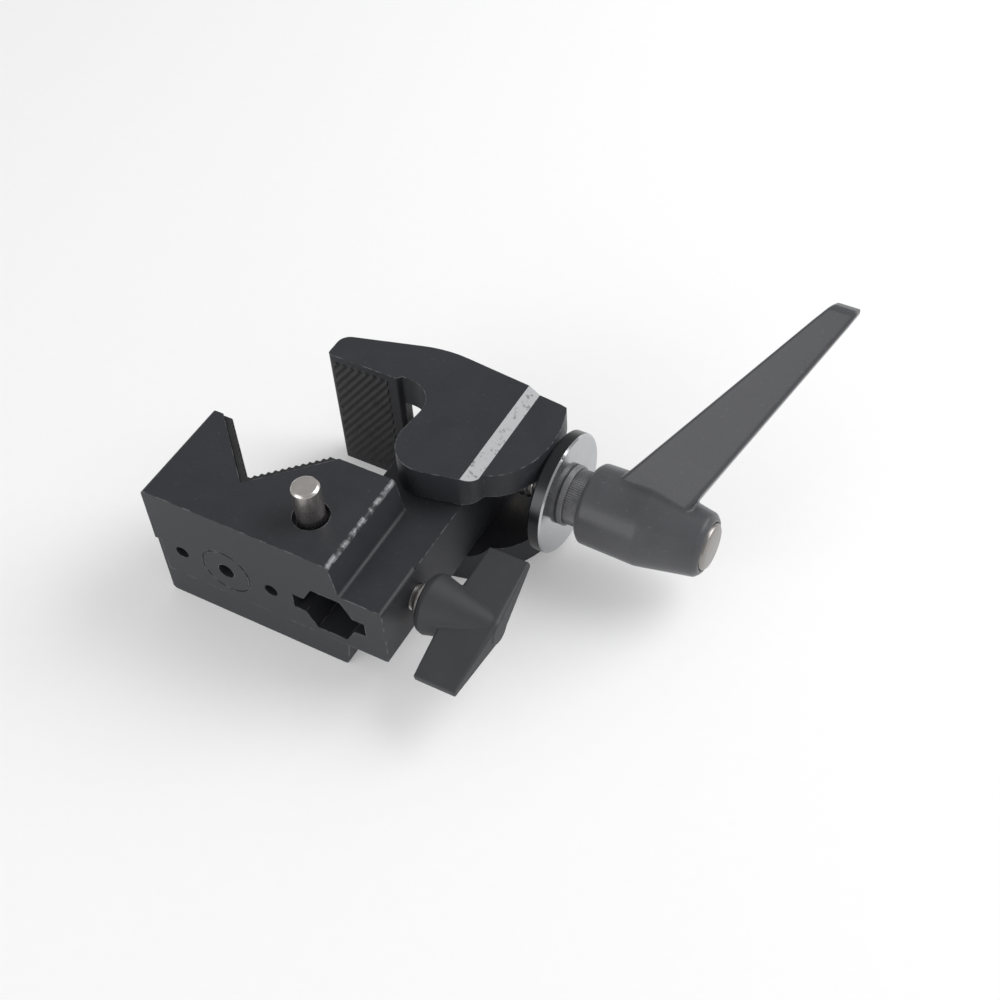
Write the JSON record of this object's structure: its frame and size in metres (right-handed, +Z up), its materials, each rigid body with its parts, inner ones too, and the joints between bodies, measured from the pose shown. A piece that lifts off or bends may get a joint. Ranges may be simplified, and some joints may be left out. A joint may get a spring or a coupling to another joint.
{
  "type": "super clamp",
  "caption": "Screw-operated pipe clamp with a toothed V jaw, a hinged padded jaw, a thrust disc, a ratchet lever, a hexagon spigot socket with locking T-knob and a spring safety pin.",
  "frame": {"origin": "mouth of the middle accessory thread, in the back face of the fixed jaw", "axes": "+X along the fixed jaw towards the lever, +Y from the back face towards the moving jaw, +Z up, with the clamp lying on its side"},
  "size_m": [0.1606, 0.1091, 0.0889],
  "materials": {
    "cast_black": "black textured coating on die-cast alloy",
    "liner_rubber": "moulded teeth",
    "pad_rubber": "diagonal ribs",
    "brass_bush": "turned",
    "spring_steel": "drawn wire",
    "black_steel": "blackened",
    "washer_steel": "stamped",
    "plated_steel": "turned and plated",
    "thread_steel": "rolled thread",
    "collar_black": "serrated",
    "lever_black": "satin coating on die-cast alloy",
    "nickel_steel": "turned, nickel-plated",
    "knob_plastic": "moulded"
  },
  "bodies": {
    "base": {"fixed_jaw": "cast_black", "v_liner": "liner_rubber", "spindle_nut": "brass_bush", "jaw_spring": "spring_steel", "safety_plug": "black_steel", "safety_spring": "spring_steel"},
    "jaw": {"moving_jaw": "cast_black", "jaw_pad": "pad_rubber", "pivot_screw": "black_steel", "pivot_washers": "washer_steel"},
    "disc": {"thrust_disc": "plated_steel"},
    "screw": {"spindle": "thread_steel", "spindle_clip": "spring_steel", "serrated_collar": "collar_black", "lever_screw": "nickel_steel", "lever_spring": "spring_steel"},
    "handle": {"lever": "lever_black"},
    "knob_tip": {"stud_tip": "brass_bush"},
    "knob": {"t_knob": "knob_plastic", "t_knob_ferrule": "nickel_steel", "t_knob_stud": "thread_steel"},
    "pin": {"safety_pin": "nickel_steel"}
  },
  "joints": [
    {"name": "jaw_pivot", "type": "hinge", "parent": "base", "child": "jaw", "pos_m": [0.038, 0.0503, 0], "axis": [0, 0, 1], "range_deg": [-23, 45]},
    {"name": "spindle_feed", "type": "slide", "parent": "base", "child": "disc", "axis": [-1, 0, 0], "range_m": [-0.0067, 0.01312]},
    {"name": "spindle_turn", "type": "hinge", "parent": "disc", "child": "screw", "pos_m": [0.0717, 0.067, 0], "axis": [-1, 0, 0], "range_deg": [-1206, 2360]},
    {"name": "lever_lift", "type": "slide", "parent": "screw", "child": "handle", "axis": [1, 0, 0], "range_m": [0, 0.0055], "stiffness_N_per_m": 1200, "springref_m": -0.004, "deforming": ["lever_spring"]},
    {"name": "knob_feed", "type": "slide", "parent": "base", "child": "knob_tip", "axis": [-1, 0, 0], "range_m": [-0.006, 0.0018]},
    {"name": "knob_turn", "type": "hinge", "parent": "knob_tip", "child": "knob", "pos_m": [0.0552, 0.016, 0], "axis": [-1, 0, 0], "range_deg": [-1729, 519.5]},
    {"name": "safety_press", "type": "slide", "parent": "base", "child": "pin", "axis": [0, 0, -1], "range_m": [0, 0.006], "stiffness_N_per_m": 700, "springref_m": -0.003, "deforming": ["safety_spring"]}
  ],
  "couplings": [
    {"joint": "spindle_feed", "follows": "spindle_turn", "m_per_rad": 0.00031831},
    {"joint": "jaw_pivot", "follows": "spindle_turn", "ratio": 0.01906},
    {"joint": "knob_turn", "follows": "knob_feed", "rad_per_m": 5026.5}
  ]
}
